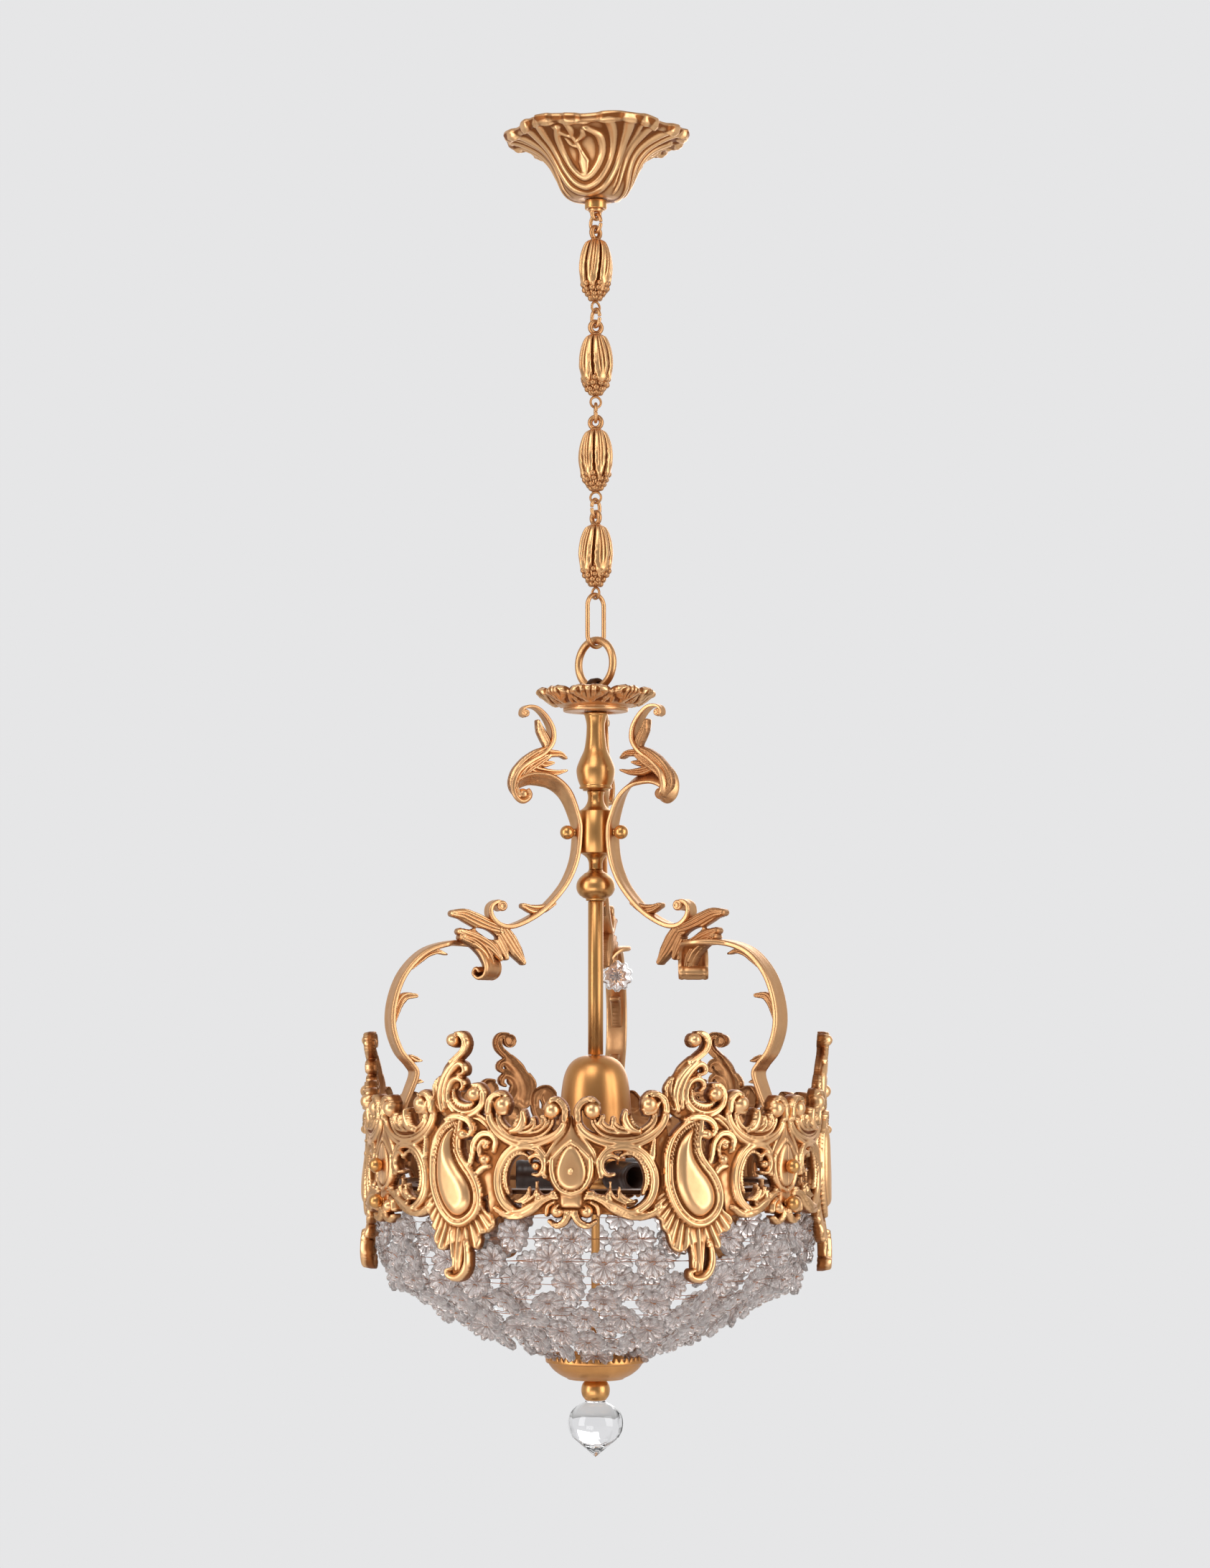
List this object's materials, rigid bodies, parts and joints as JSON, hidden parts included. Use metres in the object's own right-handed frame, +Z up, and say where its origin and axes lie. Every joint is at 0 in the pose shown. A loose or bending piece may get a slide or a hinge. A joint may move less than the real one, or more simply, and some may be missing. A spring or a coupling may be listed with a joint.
{
  "type": "chandelier",
  "caption": "Gilt bronze basket chandelier: acorn chain, scrolled arms, pierced rococo crown and a bowl of wired glass flowers.",
  "frame": {"origin": "centre of the ceiling crossbar's top face, where the canopy meets the ceiling", "axes": "+Z up to the ceiling, -Y towards the front boss of the crown, +X to the right"},
  "size_m": [0.3392, 0.3434, 0.9804],
  "materials": {
    "gilt_bronze": "satin gilt cast bronze",
    "polished_bronze": "turned and polished, gilt",
    "steel": "plain",
    "dark_bronze": "dark brown patina",
    "brown_resin": "glossy brown",
    "clear_glass": "pressed clear glass"
  },
  "bodies": {
    "canopy": {"ceiling_crossbar": "steel", "lock_nut": "steel", "canopy_stud": "gilt_bronze", "canopy_shell": "gilt_bronze", "canopy_collar": "polished_bronze"},
    "top_ring": {"top_ring": "gilt_bronze"},
    "chain_link_1": {"chain_link_1": "gilt_bronze"},
    "jump_ring_1": {"jump_ring_1": "gilt_bronze"},
    "chain_link_2": {"chain_link_2": "gilt_bronze"},
    "jump_ring_2": {"jump_ring_2": "gilt_bronze"},
    "chain_link_3": {"chain_link_3": "gilt_bronze"},
    "jump_ring_3": {"jump_ring_3": "gilt_bronze"},
    "chain_link_4": {"chain_link_4": "gilt_bronze"},
    "long_link": {"long_link": "gilt_bronze"},
    "suspension_ring": {"suspension_ring": "gilt_bronze"},
    "chandelier": {"leaf_cup": "gilt_bronze", "arm_1": "gilt_bronze", "arm_2": "gilt_bronze", "arm_3": "gilt_bronze", "crown_segment_1": "gilt_bronze", "crown_segment_2": "gilt_bronze", "crown_segment_3": "gilt_bronze", "bottom_plate": "gilt_bronze", "lamp_cluster": "gilt_bronze", "stem_baluster": "polished_bronze", "stem_hub": "polished_bronze", "stem_ball": "polished_bronze", "stem_tube": "polished_bronze", "bell_cover": "polished_bronze", "hub_screw_1": "polished_bronze", "hub_screw_2": "polished_bronze", "hub_screw_3": "polished_bronze", "crown_screw_upper_1": "polished_bronze", "crown_screw_lower_1": "polished_bronze", "crown_screw_upper_2": "polished_bronze", "crown_screw_lower_2": "polished_bronze", "crown_screw_upper_3": "polished_bronze", "crown_screw_lower_3": "polished_bronze", "finial_ball": "polished_bronze", "centre_rod": "steel", "ring_stud": "dark_bronze", "inner_hoop": "dark_bronze", "lamp_holder_1": "brown_resin", "lamp_holder_2": "brown_resin", "lamp_holder_3": "brown_resin", "flower_row_1": "clear_glass", "flower_row_2": "clear_glass", "flower_row_3": "clear_glass", "flower_row_4": "clear_glass", "flower_row_5": "clear_glass", "flower_row_6": "clear_glass", "flower_row_7": "clear_glass", "flower_row_8": "clear_glass", "flower_row_9": "clear_glass", "arm_flower": "clear_glass", "glass_finial": "clear_glass"}
  },
  "joints": [
    {"name": "top_ring_swing", "type": "hinge", "parent": "canopy", "child": "top_ring", "pos_m": [0, 0, -0.0653], "axis": [0.6334, 0.7738, 0], "range_deg": [-30, 30]},
    {"name": "chain_link_1_swing", "type": "hinge", "parent": "top_ring", "child": "chain_link_1", "pos_m": [0, 0, -0.0752], "axis": [0.7738, -0.6334, 0], "range_deg": [-30, 30]},
    {"name": "jump_ring_1_swing", "type": "hinge", "parent": "chain_link_1", "child": "jump_ring_1", "pos_m": [0, 0, -0.1362], "axis": [-0.6334, -0.7738, 0], "range_deg": [-30, 30]},
    {"name": "chain_link_2_swing", "type": "hinge", "parent": "jump_ring_1", "child": "chain_link_2", "pos_m": [0, 0, -0.14675], "axis": [-0.6184, 0.7859, 0], "range_deg": [-30, 30]},
    {"name": "jump_ring_2_swing", "type": "hinge", "parent": "chain_link_2", "child": "jump_ring_2", "pos_m": [0, 0, -0.20775], "axis": [0.9011, 0.4337, 0], "range_deg": [-30, 30]},
    {"name": "chain_link_3_swing", "type": "hinge", "parent": "jump_ring_2", "child": "chain_link_3", "pos_m": [0, 0, -0.2183], "axis": [0.1426, -0.9898, 0], "range_deg": [-30, 30]},
    {"name": "jump_ring_3_swing", "type": "hinge", "parent": "chain_link_3", "child": "jump_ring_3", "pos_m": [0, 0, -0.2793], "axis": [-0.9869, 0.1616, 0], "range_deg": [-30, 30]},
    {"name": "chain_link_4_swing", "type": "hinge", "parent": "jump_ring_3", "child": "chain_link_4", "pos_m": [0, 0, -0.28985], "axis": [0.4509, 0.8926, 0], "range_deg": [-30, 30]},
    {"name": "long_link_swing", "type": "hinge", "parent": "chain_link_4", "child": "long_link", "pos_m": [0, 0, -0.35085], "axis": [0.7157, -0.6984, 0], "range_deg": [-30, 30]},
    {"name": "suspension_ring_swing", "type": "hinge", "parent": "long_link", "child": "suspension_ring", "pos_m": [0, 0, -0.3868], "axis": [-0.6198, -0.7848, 0], "range_deg": [-30, 30]},
    {"name": "chandelier_swing", "type": "hinge", "parent": "suspension_ring", "child": "chandelier", "pos_m": [0, 0, -0.4171], "axis": [-0.7848, 0.6198, 0], "range_deg": [-20, 20]}
  ]
}
